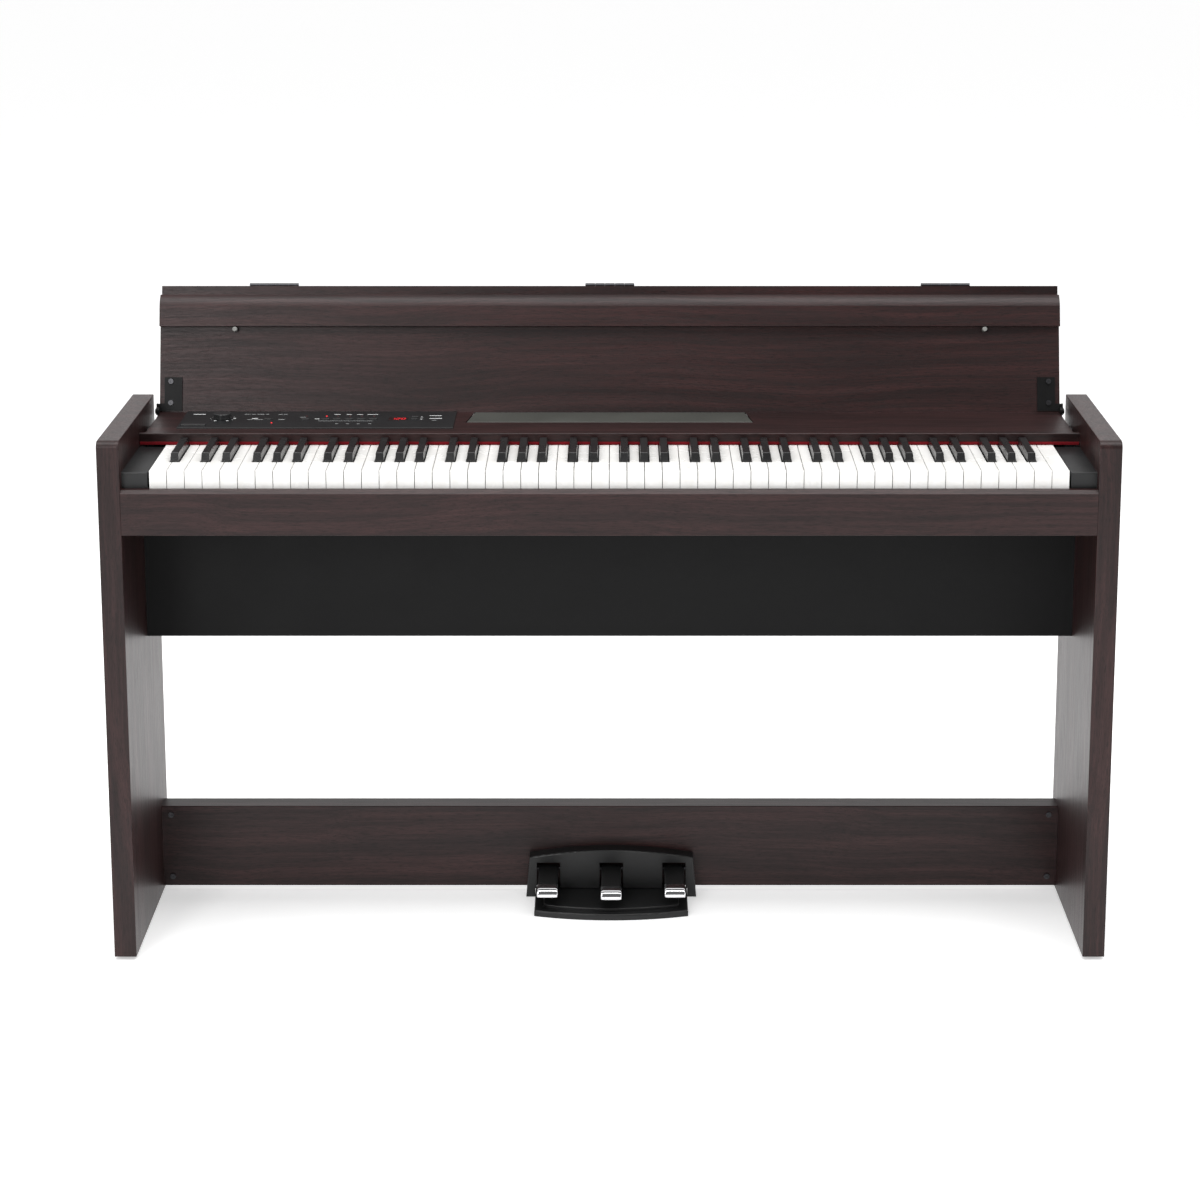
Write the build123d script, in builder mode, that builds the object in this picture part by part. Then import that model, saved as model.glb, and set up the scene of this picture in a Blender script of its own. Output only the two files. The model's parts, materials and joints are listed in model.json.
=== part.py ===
"""Digital piano on its stand: side panels, keyboard cabinet, folding lid and pedal unit.

Millimetres, +Z up, the player sits on the -Y side, bass keys on the -X side.
The origin is on the floor, under the middle of the object's bounding box.
Depths (y in the text below) are measured from the front edge of the side panels.
"""
import os
from math import cos, radians, sin

from build123d import *

os.makedirs("parts", exist_ok=True)

# Overall sizes
overall_width = 1355.0
side_thickness = 30.0
side_depth = 302.0
side_top = 728.0
floor_gap = 5.0
inner_x = overall_width / 2 - side_thickness

# Keyboard
white_count = 52
white_pitch = 23.5
white_width = 22.6
key_front = 14.6
key_top = 685.6
key_slab_bottom = 677.0
key_skirt_bottom = 660.0
key_tail_end = 242.0
black_front = 64.6
black_back = 163.5
black_top = 697.5
black_width = 12.4
black_slot = 14.0
key_pivot_y = 238.0
key_pivot_z = 670.0
key_groove_radius = 1.8
key_bead_radius = 1.5
keys_half = white_count * white_pitch / 2

# Keyboard cabinet
bed_bottom = 600.0
bed_top = 612.0
cabinet_half = 639.0
cabinet_back = 301.0
panel_front = 166.0
panel_bottom = 690.0
panel_top = 702.0
slip_depth = 13.0
slip_top = 661.5
slip_chamfer = 4.5
cheek_top = 683.0
cheek_bottom = 655.0
cheek_inner_x = 613.0

# Control strip on the cabinet's top panel
strip_left = -600.0
strip_right = -217.0
strip_front = 194.0
strip_back = 301.0
strip_top = 703.5
window_front = 232.0
window_back = 292.0
knob_x = -544.0
knob_y = 254.0
knob_radius = 12.5
knob_top = 711.5
button_gap = 0.4
button_rise = 1.4
stem_bottom = 687.5
power_x = -579.0
power_y = 213.0
power_size = (34.0, 11.0)
power_stem_bottom = 693.5

# Lid: two leaves.  Lengths run from the hinge axis, heights from the axis level.
lid_half = 640.0
lid_axis_y = 295.0
lid_axis_z = 705.0
lid_open_angle = 105.0
leaf_under = 9.0
leaf_over = 23.0
rear_leaf_start = -2.0
rear_leaf_end = 166.5
fold_axis_reach = 182.0
fold_axis_height = 24.0
lid_reach = 293.0
lip_thickness = 10.0
lip_height = -37.0
rail_start = 121.0
rail_face_end = 150.0
rail_face = -2.0
edge_strip_face = 7.0
edge_strip_end = 179.0

# Pedal unit
pedal_centre_x = 2.0
pedal_pitch = 90.5
pedal_width = 30.0
pedal_axis_y = 238.0
pedal_axis_z = 41.0
pedal_axle_radius = 3.0
pedal_bore_radius = 3.05

# The bounding box runs from the side panels' front to the folded lid's lip.
lip_end_y = (
    lid_axis_y
    - (2 * fold_axis_reach - lid_reach + lip_thickness) * cos(radians(lid_open_angle))
    + (2 * fold_axis_height - lip_height) * sin(radians(lid_open_angle))
)
front = -lip_end_y / 2


def level(z):
    """Horizontal plane at height z: local x is X, local y is the depth from the front."""
    return Plane(origin=(0, front, z))


def facing(y):
    """Vertical plane at depth y that faces the player: local x is X, local y is Z."""
    return Plane(origin=(0, front + y, 0), x_dir=(1, 0, 0), z_dir=(0, -1, 0))


def section(x):
    """Vertical fore-and-aft plane at x: local x is depth, local y is Z, normal is +X."""
    return Plane(origin=(x, front, 0), x_dir=(0, 1, 0), z_dir=(1, 0, 0))


def lid_section(x=0.0):
    """Cross-section of the open lid: local x is reach from the axis, local y is height."""
    turn = radians(lid_open_angle)
    reach = (0, -cos(turn), sin(turn))
    return Plane(origin=(x, front + lid_axis_y, lid_axis_z), x_dir=reach, z_dir=(-1, 0, 0))


def lid_face(height):
    """Plane parallel to the open lid's underside: local x is X, local y is reach."""
    turn = radians(lid_open_angle)
    origin = (0, front + lid_axis_y + height * sin(turn), lid_axis_z + height * cos(turn))
    return Plane(origin=origin, x_dir=(1, 0, 0), z_dir=(0, -sin(turn), -cos(turn)))


def save(built, label):
    """Label a finished piece and write its STEP file."""
    built.part.label = label
    export_step(built.part, f"parts/{label}.step")


# ---------------------------------------------------------------- stand

for side_name, side_sign in (("left", -1), ("right", 1)):
    with BuildPart() as side_panel:
        with BuildSketch(section(side_sign * (inner_x + side_thickness / 2))) as outline:
            with Locations((side_depth / 2, (side_top + floor_gap) / 2)):
                Rectangle(side_depth, side_top - floor_gap)
            fillet(outline.vertices().group_by(Axis.X)[0].sort_by(Axis.Y)[-1], 10)
        extrude(amount=side_thickness / 2, both=True)
        long_edges = side_panel.edges().filter_by(Axis.Z)
        top_edges = side_panel.edges().filter_by(Axis.Y).group_by(Axis.Z)[-1]
        fillet(long_edges + top_edges, 1.2)
    save(side_panel, f"side_panel_{side_name}")

foot_radius = 8.0
foot_inset = 20.0
foot_x = inner_x + side_thickness / 2
foot_places = [(s * foot_x, y) for s in (-1, 1) for y in (foot_inset, side_depth - foot_inset)]
with BuildPart() as glide_feet:
    with BuildSketch(level(0)):
        with Locations(*foot_places):
            Circle(foot_radius)
    extrude(amount=floor_gap)
    chamfer(glide_feet.edges().group_by(Axis.Z)[0], 1)
save(glide_feet, "glide_feet")

knee_board_front = 178.0
knee_board_back = 193.0
knee_board_bottom = 408.0
with BuildPart() as rear_board:
    with BuildSketch(facing((knee_board_front + knee_board_back) / 2)):
        with Locations((0, (bed_bottom + knee_board_bottom) / 2)):
            Rectangle(2 * inner_x, bed_bottom - knee_board_bottom)
    extrude(amount=(knee_board_back - knee_board_front) / 2, both=True)
    chamfer(rear_board.edges().filter_by(Axis.X).group_by(Axis.Z)[0], 1)
save(rear_board, "rear_board")

beam_front = 250.0
beam_back = 284.0
beam_bottom = 10.0
beam_top = 131.0
beam_wall = 15.0
beam_rear_drop = 45.0
beam_rear_wall = 12.0
with BuildPart() as stretcher:
    with BuildSketch(section(0)):
        with BuildLine():
            Polyline(
                (beam_front, beam_bottom),
                (beam_front, beam_top),
                (beam_back, beam_top),
                (beam_back, beam_top - beam_rear_drop),
                (beam_back - beam_rear_wall, beam_top - beam_rear_drop),
                (beam_back - beam_rear_wall, beam_top - beam_wall),
                (beam_front + beam_wall, beam_top - beam_wall),
                (beam_front + beam_wall, beam_bottom),
                close=True,
            )
        make_face()
    extrude(amount=inner_x, both=True)
    fillet(stretcher.edges().filter_by(Axis.X).group_by(Axis.Z)[-1], 1.2)
save(stretcher, "stretcher")

# Spacer brackets that hang the cabinet between the side panels, with a gap each side.
bracket_y = 246.0
bracket_width = 22.0
bracket_top = 692.0
bracket_low = 640.0
bracket_wall = 2.5
with BuildPart() as cabinet_brackets:
    for bracket_side in (-1, 1):
        with BuildSketch(facing(bracket_y)):
            with BuildLine():
                Polyline(
                    (bracket_side * cabinet_half, bracket_low),
                    (bracket_side * inner_x, bracket_low),
                    (bracket_side * inner_x, bracket_top),
                    (bracket_side * cabinet_half, bracket_top),
                    (bracket_side * cabinet_half, bracket_top - bracket_wall),
                    (bracket_side * (inner_x - bracket_wall), bracket_top - bracket_wall),
                    (bracket_side * (inner_x - bracket_wall), bracket_low + bracket_wall),
                    (bracket_side * cabinet_half, bracket_low + bracket_wall),
                    close=True,
                )
            make_face()
        extrude(amount=bracket_width / 2, both=True)
save(cabinet_brackets, "cabinet_brackets")

# Screws: four through the stretcher's front, two on the spacer brackets.
screw_head_radius = 4.0
screw_head_height = 2.2
screw_shank_radius = 1.9
screw_shank_length = 9.0
recess_width = 1.1
stretcher_screw_x = 634.0
stretcher_screw_heights = (24.0, 118.0)


def screws(groups):
    """Cross-head screws.  Each group is (plane, places, head radius, shank length)."""
    with BuildPart() as made:
        for plane, places, head_radius, shank_length in groups:
            with BuildSketch(plane):
                with Locations(*places):
                    Circle(head_radius)
            extrude(amount=screw_head_height)
            with BuildSketch(plane):
                with Locations(*places):
                    Circle(screw_shank_radius)
            extrude(amount=-shank_length)
            with BuildSketch(plane.offset(screw_head_height)):
                with Locations(*places):
                    Rectangle(head_radius * 1.2, recess_width)
                    Rectangle(recess_width, head_radius * 1.2)
            extrude(amount=-screw_head_height / 2, mode=Mode.SUBTRACT)
    return made


stretcher_places = [(s * stretcher_screw_x, z) for s in (-1, 1) for z in stretcher_screw_heights]
bracket_places = [(s * (inner_x - 4.5), bracket_y) for s in (-1, 1)]
panel_screws = screws(
    [
        (facing(beam_front), stretcher_places, screw_head_radius, screw_shank_length),
        (level(bracket_top), bracket_places, 3.0, 6.0),
    ]
)
save(panel_screws, "panel_screws")

# ---------------------------------------------------------------- keyboard cabinet

jack_x = -560.0
jack_y = 42.0
jack_block = (62.0, 24.0)
jack_pitch = 26.0
jack_radius = 3.25
jack_depth = 16.0
jack_floor = 4.0
speaker_x = 500.0
speaker_y = 247.0
speaker_hole = 36.0
with BuildPart() as keybed:
    with BuildSketch(level(bed_bottom)):
        with Locations((0, (slip_depth + cabinet_back) / 2)):
            Rectangle(2 * cabinet_half, cabinet_back - slip_depth)
        with Locations((-speaker_x, speaker_y), (speaker_x, speaker_y)):
            Circle(speaker_hole, mode=Mode.SUBTRACT)
        with Locations((jack_x, jack_y)):
            Rectangle(*jack_block, mode=Mode.SUBTRACT)
    extrude(amount=bed_top - bed_bottom)
save(keybed, "keybed")

with BuildPart() as keyslip:
    with BuildSketch(section(0)) as outline:
        with Locations((slip_depth / 2, (slip_top + bed_bottom) / 2)):
            Rectangle(slip_depth, slip_top - bed_bottom)
        chamfer(outline.vertices().group_by(Axis.X)[0].sort_by(Axis.Y)[-1], slip_chamfer)
    extrude(amount=inner_x, both=True)
    fillet(keyslip.edges().filter_by(Axis.X).group_by(Axis.Z)[0], 1)
save(keyslip, "keyslip")

end_thickness = 12.0
back_thickness = 12.0
with BuildPart() as cabinet_ends:
    for end_side in (-1, 1):
        with BuildSketch(section(end_side * (cabinet_half - end_thickness / 2))):
            with BuildLine():
                Polyline(
                    (slip_depth, bed_top),
                    (cabinet_back - back_thickness, bed_top),
                    (cabinet_back - back_thickness, panel_bottom),
                    (panel_front, panel_bottom),
                    (panel_front, cheek_bottom),
                    (slip_depth, cheek_bottom),
                    close=True,
                )
            make_face()
        extrude(amount=end_thickness / 2, both=True)
save(cabinet_ends, "cabinet_ends")

with BuildPart() as cabinet_back_board:
    with BuildSketch(facing(cabinet_back - back_thickness / 2)):
        with Locations((0, (bed_top + panel_bottom) / 2)):
            Rectangle(2 * cabinet_half, panel_bottom - bed_top)
    extrude(amount=back_thickness / 2, both=True)
save(cabinet_back_board, "cabinet_back_board")

ledge_front = 237.0
ledge_back = 300.0
ledge_half_front = 200.0
ledge_half_back = 191.0
ledge_thickness = 4.0
ledge_axis_y = ledge_front + 3.0
ledge_axis_z = panel_top - 2.0
ledge_pin_radius = 1.0
ledge_hole_radius = 1.05
ledge_pin_reach = 3.5
ledge_recess = 6.0
ledge_gap = 1.5
front_ear_depth = 8.0
strip_ledge = 12.0
power_window_gap = 2.0
with BuildPart() as top_panel:
    with BuildSketch(level(panel_bottom)):
        with Locations((0, (panel_front + cabinet_back) / 2)):
            Rectangle(2 * cabinet_half, cabinet_back - panel_front)
        with Locations((0, panel_front + front_ear_depth / 2)):
            Rectangle(2 * inner_x, front_ear_depth)
        with Locations(((strip_left + strip_right) / 2, (window_front + window_back) / 2)):
            Rectangle(
                strip_right - strip_left - 2 * strip_ledge,
                window_back - window_front,
                mode=Mode.SUBTRACT,
            )
        with Locations((power_x, power_y)):
            Rectangle(
                power_size[0] + 2 * power_window_gap,
                power_size[1] + 2 * power_window_gap,
                mode=Mode.SUBTRACT,
            )
    extrude(amount=panel_top - panel_bottom)
    with BuildSketch(level(panel_top)):
        with BuildLine():
            Polyline(
                (-ledge_half_front - ledge_gap, ledge_front - ledge_gap),
                (ledge_half_front + ledge_gap, ledge_front - ledge_gap),
                (ledge_half_back + ledge_gap, cabinet_back),
                (-ledge_half_back - ledge_gap, cabinet_back),
                close=True,
            )
        make_face()
    extrude(amount=-ledge_recess, mode=Mode.SUBTRACT)
    with BuildSketch(section(0)):
        with Locations((ledge_axis_y, ledge_axis_z)):
            Circle(ledge_hole_radius)
    extrude(amount=ledge_half_front + ledge_pin_reach + 0.5, both=True, mode=Mode.SUBTRACT)
    fillet(top_panel.edges().filter_by(Axis.X).group_by(Axis.Y)[0].sort_by(Axis.Z)[-1], 1.5)
save(top_panel, "top_panel")

felt_thickness = 1.7
felt_bottom = 686.3
felt_rail_depth = 6.0
with BuildPart() as felt_rail:
    with BuildSketch(section(0)):
        with Locations((panel_front + felt_rail_depth / 2, (felt_bottom + panel_bottom) / 2)):
            Rectangle(felt_rail_depth, panel_bottom - felt_bottom)
    extrude(amount=cabinet_half - end_thickness, both=True)
save(felt_rail, "felt_rail")

with BuildPart() as key_felt:
    with BuildSketch(section(0)):
        with Locations((panel_front - felt_thickness / 2, (felt_bottom + panel_bottom) / 2)):
            Rectangle(felt_thickness, panel_bottom - felt_bottom)
    extrude(amount=inner_x - 1, both=True)
save(key_felt, "key_felt")

cheek_front = 14.6
with BuildPart() as cheek_blocks:
    for cheek_side in (-1, 1):
        with BuildSketch(level(cheek_bottom)):
            with Locations((cheek_side * (cheek_inner_x + inner_x) / 2, (cheek_front + panel_front) / 2)):
                Rectangle(inner_x - cheek_inner_x, panel_front - cheek_front)
        extrude(amount=cheek_top - cheek_bottom)
    fillet(cheek_blocks.edges().filter_by(Axis.X).group_by(Axis.Z)[-1].group_by(Axis.Y)[0], 2)
save(cheek_blocks, "cheek_blocks")

# ---------------------------------------------------------------- inside the cabinet

frame_half = 610.0
frame_plate_z = 640.0
frame_plate_thickness = 3.0
frame_front = 20.0
frame_plate_back = 200.0
rail_front = 229.0
rail_back = 244.0
rail_bottom = 655.0
rail_top = key_pivot_z - 1.2
rib_pitch = 200.0
rib_width = 6.0
with BuildPart() as key_frame:
    with BuildSketch(level(frame_plate_z)):
        with Locations((0, (frame_front + frame_plate_back) / 2)):
            Rectangle(2 * frame_half, frame_plate_back - frame_front)
    extrude(amount=frame_plate_thickness)
    with BuildSketch(section(0)):
        with Locations(((rail_front + rail_back) / 2, (rail_bottom + rail_top) / 2)):
            Rectangle(rail_back - rail_front, rail_top - rail_bottom)
        with Locations((key_pivot_y, key_pivot_z)):
            Circle(key_bead_radius)
    extrude(amount=frame_half, both=True)
    for rib_index in range(-3, 4):
        with BuildSketch(section(rib_index * rib_pitch)):
            with BuildLine():
                Polyline(
                    (frame_front, bed_top),
                    (rail_back, bed_top),
                    (rail_back, rail_bottom),
                    (rail_front, rail_bottom),
                    (frame_plate_back, frame_plate_z),
                    (frame_front, frame_plate_z),
                    close=True,
                )
            make_face()
        extrude(amount=rib_width / 2, both=True)
save(key_frame, "key_frame")

board_thickness = 1.6
contact_y = 150.0
contact_depth = 60.0
with BuildPart() as contact_board:
    with BuildSketch(level(frame_plate_z + frame_plate_thickness)):
        with Locations((0, contact_y)):
            Rectangle(2 * frame_half - 10, contact_depth)
    extrude(amount=board_thickness)
save(contact_board, "contact_board")

board_y = 267.0
panel_board_z = 684.5
panel_board_depth = 40.0
post_size = (8.0, 30.0)
with BuildPart() as panel_board:
    with BuildSketch(level(panel_board_z)):
        with Locations(((strip_left + strip_right) / 2, board_y)):
            Rectangle(strip_right - strip_left - 10, panel_board_depth)
    extrude(amount=board_thickness)
    with BuildSketch(level(bed_top)):
        with Locations((strip_left + 40, board_y), (strip_right - 20, board_y)):
            Rectangle(*post_size)
    extrude(amount=panel_board_z - bed_top)
save(panel_board, "panel_board")

standoff_height = 6.0
standoff_x = 120.0
main_board_size = (260.0, 38.0)
chip_height = 9.0
main_board_top = bed_top + standoff_height + board_thickness
with BuildPart() as main_board:
    with BuildSketch(level(bed_top + standoff_height)):
        with Locations((0, board_y)):
            Rectangle(*main_board_size)
    extrude(amount=board_thickness)
    with BuildSketch(level(bed_top)):
        with Locations((-standoff_x, board_y), (standoff_x, board_y)):
            Circle(3)
    extrude(amount=standoff_height)
    with BuildSketch(level(main_board_top)):
        with Locations((-60, board_y)):
            Rectangle(22, 22)
        with Locations((40, board_y)):
            Rectangle(60, 14)
    extrude(amount=chip_height)
save(main_board, "main_board")

# Speaker outlines as (radius, height) above the keybed.
basket_outer = [(34, 0), (40, 0), (40, 2), (37, 2), (27, 15), (27, 25)]
basket_inner = [(0, 25), (0, 13), (24, 13), (34, 1.5)]
basket_profile = basket_outer + basket_inner
cone_profile = [(33.2, 0.6), (33.2, 1.6), (21, 10.4), (9, 10.4), (0, 9), (0, 8), (9, 9.4), (20.6, 9.4)]


def speaker_pair(profile):
    """Two round pieces turned from a (radius, height) outline above the keybed."""
    with BuildPart() as made:
        for x in (-speaker_x, speaker_x):
            with BuildSketch(section(x)):
                with BuildLine():
                    Polyline(*[(speaker_y + r, bed_top + h) for r, h in profile], close=True)
                make_face()
            revolve(axis=Axis((x, front + speaker_y, 0), (0, 0, 1)))
    return made


save(speaker_pair(basket_profile), "speaker_baskets")
save(speaker_pair(cone_profile), "speaker_cones")

inlet_x = 420.0
inlet_radius = 2.8
inlet_depth = 10.0
inlet_floor = 6.0
inlet_block = (14.0, 18.0)
with BuildPart() as power_inlet:
    with BuildSketch(facing(cabinet_back)):
        with Locations((inlet_x, bed_bottom - inlet_block[1] / 2)):
            Rectangle(*inlet_block)
            Circle(inlet_radius, mode=Mode.SUBTRACT)
    extrude(amount=inlet_depth)
    with BuildSketch(facing(cabinet_back - inlet_depth)):
        with Locations((inlet_x, bed_bottom - inlet_block[1] / 2)):
            Rectangle(*inlet_block)
    extrude(amount=inlet_floor)
save(power_inlet, "power_inlet")

with BuildPart() as headphone_jacks:
    with BuildSketch(level(bed_bottom)):
        with Locations((jack_x, jack_y)):
            Rectangle(*jack_block)
        with Locations((jack_x - jack_pitch / 2, jack_y), (jack_x + jack_pitch / 2, jack_y)):
            Circle(jack_radius, mode=Mode.SUBTRACT)
    extrude(amount=jack_depth)
    with BuildSketch(level(bed_bottom + jack_depth)):
        with Locations((jack_x, jack_y)):
            Rectangle(*jack_block)
    extrude(amount=jack_floor)
save(headphone_jacks, "headphone_jacks")

# ---------------------------------------------------------------- control strip

tone_xs = [-399.0, -383.0, -366.0, -349.0, -332.0]
button_row_y = 249.0
button_size = (11.0, 7.0)
display_x = -297.0
display_y = 252.0
display_size = (27.0, 17.0)
display_thickness = 4.1
step_x = -274.0
step_size = (9.0, 7.0)
up_y = 264.0
down_y = 249.0
song_x = -480.0
function_x = -427.0
pot_bush_radius = 4.0

button_places = [
    ("power_button", [(power_x, power_y)], power_size, power_stem_bottom),
    ("song_button", [(song_x, button_row_y)], button_size, stem_bottom),
    ("function_button", [(function_x, button_row_y)], button_size, stem_bottom),
    ("tone_buttons", [(x, button_row_y) for x in tone_xs], button_size, stem_bottom),
    ("up_button", [(step_x, up_y)], step_size, stem_bottom),
    ("down_button", [(step_x, down_y)], step_size, stem_bottom),
]

with BuildPart() as control_panel:
    with BuildSketch(level(panel_top)):
        with Locations(((strip_left + strip_right) / 2, (strip_front + strip_back) / 2)):
            Rectangle(strip_right - strip_left, strip_back - strip_front)
        for _, places, size, _ in button_places:
            with Locations(*places):
                Rectangle(size[0] + 2 * button_gap, size[1] + 2 * button_gap, mode=Mode.SUBTRACT)
        with Locations((knob_x, knob_y)):
            Circle(pot_bush_radius + 0.5, mode=Mode.SUBTRACT)
        with Locations((display_x, display_y)):
            Rectangle(*display_size, mode=Mode.SUBTRACT)
    extrude(amount=strip_top - panel_top)
    chamfer(control_panel.edges().group_by(Axis.Z)[-1], 0.3)
save(control_panel, "control_panel")

cap_depth = 6.0
for name, places, size, stem_end in button_places:
    with BuildPart() as button:
        with BuildSketch(level(strip_top - cap_depth)):
            with Locations(*places):
                Rectangle(*size)
        extrude(amount=cap_depth + button_rise)
        fillet(button.edges().group_by(Axis.Z)[-1], 0.6)
        with BuildSketch(level(stem_end)):
            with Locations(*places):
                Rectangle(size[0] / 2, size[1] / 2)
        extrude(amount=strip_top - cap_depth - stem_end)
    save(button, name)

with BuildPart() as display_window:
    with BuildSketch(level(strip_top + 0.1 - display_thickness)):
        with Locations((display_x, display_y)):
            Rectangle(*display_size)
    extrude(amount=display_thickness)
save(display_window, "display_window")

pot_bottom = panel_board_z + board_thickness
pot_case_height = 4.0
pot_bush_top = 699.0
knob_shaft_radius = 2.5
knob_bore_radius = 2.55
with BuildPart() as volume_pot:
    with BuildSketch(level(pot_bottom)):
        with Locations((knob_x, knob_y)):
            Rectangle(16, 14)
    extrude(amount=pot_case_height)
    with BuildSketch(level(pot_bottom + pot_case_height)):
        with Locations((knob_x, knob_y)):
            Circle(pot_bush_radius)
    extrude(amount=pot_bush_top - pot_bottom - pot_case_height)
    with BuildSketch(level(pot_bush_top)):
        with Locations((knob_x, knob_y)):
            Circle(knob_bore_radius)
    extrude(amount=pot_bottom + 1 - pot_bush_top, mode=Mode.SUBTRACT)
save(volume_pot, "volume_pot")

knob_bottom = strip_top + 0.5
with BuildPart() as volume_knob:
    with BuildSketch(level(knob_bottom)):
        with Locations((knob_x, knob_y)):
            Circle(knob_radius)
    extrude(amount=knob_top - knob_bottom)
    fillet(volume_knob.edges().group_by(Axis.Z)[-1], 1.2)
    with BuildSketch(level(knob_bottom)):
        with Locations((knob_x, knob_y)):
            with PolarLocations(knob_radius + 0.35, 24):
                Circle(0.7)
    extrude(amount=knob_top - knob_bottom - 2.5, mode=Mode.SUBTRACT)
    with BuildSketch(level(knob_top)):
        with Locations((knob_x, knob_y + knob_radius * 0.62)):
            Rectangle(1.4, 5.5)
    extrude(amount=-0.6, mode=Mode.SUBTRACT)
    with BuildSketch(level(knob_bottom)):
        with Locations((knob_x, knob_y)):
            Circle(knob_shaft_radius)
    extrude(amount=pot_bottom + 2 - knob_bottom)
save(volume_knob, "volume_knob")

# ---------------------------------------------------------------- music ledge

with BuildPart() as music_ledge:
    with BuildSketch(level(panel_top - ledge_thickness + 0.2)):
        with BuildLine():
            Polyline(
                (-ledge_half_front, ledge_front),
                (ledge_half_front, ledge_front),
                (ledge_half_back, ledge_back),
                (-ledge_half_back, ledge_back),
                close=True,
            )
        make_face()
    extrude(amount=ledge_thickness)
    chamfer(music_ledge.edges().group_by(Axis.Z)[-1], 0.5)
    with BuildSketch(section(0)):
        with Locations((ledge_axis_y, ledge_axis_z)):
            Circle(ledge_pin_radius)
    extrude(amount=ledge_half_front + ledge_pin_reach, both=True)
save(music_ledge, "music_ledge")

# ---------------------------------------------------------------- lid

with BuildPart() as lid_rear_panel:
    with BuildSketch(lid_section()):
        with BuildLine():
            Polyline(
                (rear_leaf_start, leaf_under),
                (rear_leaf_end, leaf_under),
                (rear_leaf_end, leaf_over),
                (rear_leaf_start, leaf_over),
                close=True,
            )
        make_face()
    extrude(amount=lid_half, both=True)
save(lid_rear_panel, "lid_rear_panel")

with BuildPart() as lid_rail:
    with BuildSketch(lid_section()):
        with BuildLine():
            base = Polyline(
                (rail_face_end, rail_face),
                (rail_start, rail_face),
                (rail_start, leaf_under),
                (rear_leaf_end, leaf_under),
                (rear_leaf_end, edge_strip_face),
            )
            ThreePointArc(base @ 1, (rail_face_end + 9.5, rail_face + 3.2), base @ 0)
        make_face()
    extrude(amount=lid_half, both=True)
save(lid_rail, "lid_rail")

with BuildPart() as lid_edge_strip:
    with BuildSketch(lid_section()):
        with BuildLine():
            Polyline(
                (rear_leaf_end, edge_strip_face),
                (edge_strip_end, edge_strip_face),
                (edge_strip_end, leaf_over),
                (rear_leaf_end, leaf_over),
                close=True,
            )
        make_face()
    extrude(amount=lid_half - 2, both=True)
save(lid_edge_strip, "lid_edge_strip")


def folded(reach, height):
    """Where a point of the flat front leaf lies once it is folded behind the rear leaf."""
    return (2 * fold_axis_reach - reach, 2 * fold_axis_height - height)


front_leaf_start = fold_axis_reach + 3.0
with BuildPart() as lid_front_panel:
    with BuildSketch(lid_section()):
        with BuildLine():
            Polyline(
                folded(front_leaf_start, leaf_over),
                folded(lid_reach, leaf_over),
                folded(lid_reach, lip_height),
                folded(lid_reach - lip_thickness, lip_height),
                folded(lid_reach - lip_thickness, leaf_under),
                folded(front_leaf_start, leaf_under),
                close=True,
            )
        make_face()
    extrude(amount=lid_half, both=True)
    fillet(lid_front_panel.edges().filter_by(Axis.X), 0.8)
save(lid_front_panel, "lid_front_panel")

# Pivot ears at the lid's two ends, with their screws, pins and the brackets on the cabinet.
ear_inner = 641.4
ear_thickness = 2.0
ear_radius = 5.5
ear_top = leaf_under
plate_inner = 608.0
plate_outer = 633.0
plate_reach = 48.7
plate_thickness = 2.0
pin_radius = 2.0
pin_hole_radius = 2.05
with BuildPart() as lid_pivot_ears:
    for ear_side in (-1, 1):
        with BuildSketch(lid_face(leaf_under)):
            with Locations((ear_side * (plate_inner + plate_outer) / 2, (1 + plate_reach) / 2)):
                Rectangle(plate_outer - plate_inner, plate_reach - 1)
            with Locations((ear_side * (plate_inner + ear_inner + ear_thickness) / 2, 6)):
                Rectangle(ear_inner + ear_thickness - plate_inner, 10)
        extrude(amount=plate_thickness)
        with BuildSketch(lid_section(ear_side * (ear_inner + ear_thickness / 2))):
            Circle(ear_radius)
            with Locations((ear_radius, ear_top / 2)):
                Rectangle(2 * ear_radius, ear_top)
        extrude(amount=ear_thickness / 2, both=True)
save(lid_pivot_ears, "lid_pivot_ears")

plate_screw_x = 624.0
plate_screw_reaches = (12.4, 42.9)
plate_places = [(s * plate_screw_x, reach) for s in (-1, 1) for reach in plate_screw_reaches]
lid_screws = screws([(lid_face(leaf_under - plate_thickness), plate_places, 3.6, 9.0)])
save(lid_screws, "lid_screws")

pin_inner = 639.2
pin_head_radius = 3.6
pin_head_height = 1.4
with BuildPart() as lid_pivot_pins:
    for pin_side in (-1, 1):
        with BuildSketch(section(pin_side * pin_inner)):
            with Locations((lid_axis_y, lid_axis_z)):
                Circle(pin_radius)
        extrude(amount=pin_side * (ear_inner + ear_thickness - pin_inner))
        with BuildSketch(section(pin_side * (ear_inner + ear_thickness))):
            with Locations((lid_axis_y, lid_axis_z)):
                Circle(pin_head_radius)
        extrude(amount=pin_side * pin_head_height)
save(lid_pivot_pins, "lid_pivot_pins")

bracket_foot = 640.0
bracket_eye_radius = 5.8
with BuildPart() as pivot_brackets:
    for arm_side in (-1, 1):
        with BuildSketch(section(arm_side * (cabinet_half + 1))):
            with Locations((lid_axis_y, lid_axis_z)):
                Circle(bracket_eye_radius)
            with Locations((lid_axis_y - 2, (bracket_foot + lid_axis_z) / 2)):
                Rectangle(12, lid_axis_z - bracket_foot)
            with Locations((lid_axis_y, lid_axis_z)):
                Circle(pin_hole_radius, mode=Mode.SUBTRACT)
        extrude(amount=1, both=True)
save(pivot_brackets, "pivot_brackets")

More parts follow.
